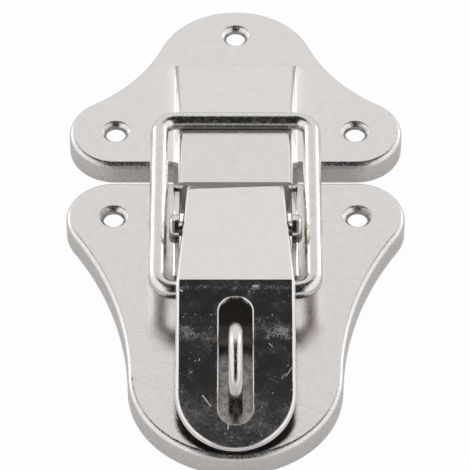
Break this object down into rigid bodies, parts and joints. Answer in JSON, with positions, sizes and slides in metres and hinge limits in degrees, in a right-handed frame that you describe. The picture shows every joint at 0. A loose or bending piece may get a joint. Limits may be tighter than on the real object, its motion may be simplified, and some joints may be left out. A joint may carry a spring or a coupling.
{
  "type": "box latch",
  "caption": "Pressed-steel toggle latch for a box: a slotted lever and wire bail pull a hooked keeper plate to the base plate; a staple takes a padlock.",
  "frame": {"origin": "middle of the mounting face, on the plane that both plates stand on, half way along the latch", "axes": "+X across the latch, +Y from the lever's tip to the keeper's far end, +Z away from the box"},
  "size_m": [0.0602, 0.107, 0.0157],
  "materials": {
    "plate_nickel": "bright nickel plate on pressed steel, lightly mottled",
    "lever_nickel": "bright nickel plate on folded steel, fine scratches",
    "wire_nickel": "polished nickel plate on round wire",
    "rivet_nickel": "nickel-plated domed rivet heads"
  },
  "bodies": {
    "base": {"base_plate": "plate_nickel", "pivot_pin": "rivet_nickel", "staple": "wire_nickel", "keeper_plate": "plate_nickel"},
    "lever": {"lever": "lever_nickel"},
    "bail": {"bail": "wire_nickel"}
  },
  "joints": [
    {"name": "lever_hinge", "type": "hinge", "parent": "base", "child": "lever", "pos_m": [0, -0.0079, 0.0118], "axis": [-1, 0, 0], "range_deg": [0, 150]},
    {"name": "bail_hinge", "type": "hinge", "parent": "lever", "child": "bail", "pos_m": [0, -0.0214, 0.011], "axis": [1, 0, 0], "range_deg": [0, 150]}
  ],
  "couplings": [
    {"joint": "bail_hinge", "follows": "lever_hinge", "ratio": 1}
  ]
}
